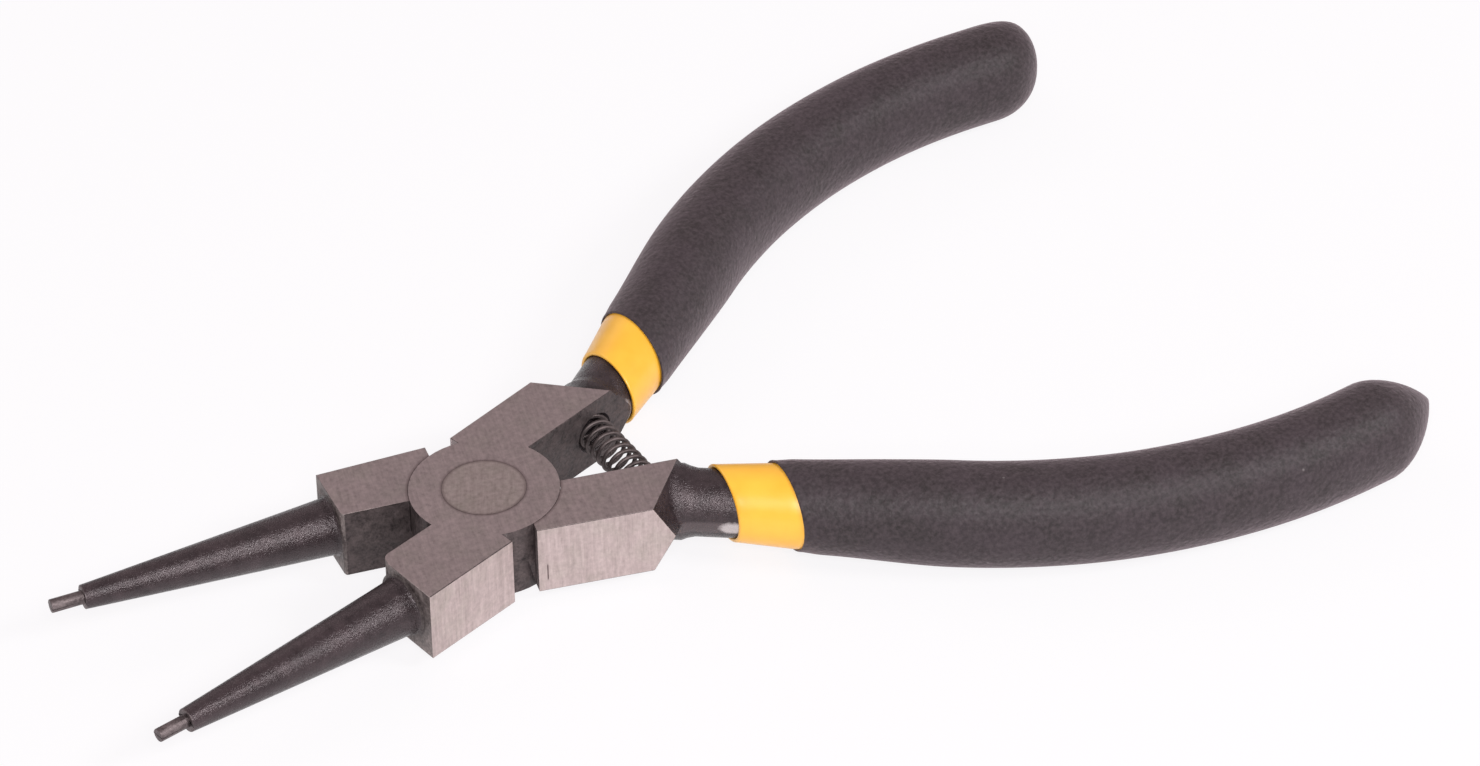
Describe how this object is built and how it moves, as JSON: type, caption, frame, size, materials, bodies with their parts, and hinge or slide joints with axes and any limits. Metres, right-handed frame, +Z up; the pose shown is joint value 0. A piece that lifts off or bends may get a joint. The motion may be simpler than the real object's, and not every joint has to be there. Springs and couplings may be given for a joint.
{
  "type": "circlip pliers",
  "caption": "Straight-tip pliers for internal retaining rings: crossed lap joint on a flush rivet, cone jaws with pin tips, return spring and dipped two-colour grips.",
  "frame": {"origin": "pivot axis at the joint's lower ground face", "axes": "+X from the pivot to the handle ends, +Z up the pivot axis, tips toward -X"},
  "size_m": [0.1715, 0.1069, 0.0138],
  "materials": {
    "forged_steel": "ground flats with fine scratches, black oxide elsewhere",
    "rivet_steel": "ground flush",
    "spring_wire": "drawn dark wire",
    "yellow_vinyl": "glossy dip",
    "black_vinyl": "matte pebble grain"
  },
  "bodies": {
    "lower": {"lower_half": "forged_steel", "pivot_rivet": "rivet_steel", "return_spring": "spring_wire", "lower_grip_inner": "yellow_vinyl", "lower_grip_outer": "black_vinyl"},
    "upper": {"upper_half": "forged_steel", "upper_grip_inner": "yellow_vinyl", "upper_grip_outer": "black_vinyl"}
  },
  "joints": [
    {"name": "pivot", "type": "hinge", "parent": "lower", "child": "upper", "pos_m": [0, 0, 0.00507], "axis": [0, 0, -1], "range_deg": [0, 27], "stiffness_Nm_per_rad": 0.3, "springref_deg": -5.73, "deforming": ["return_spring"]}
  ]
}
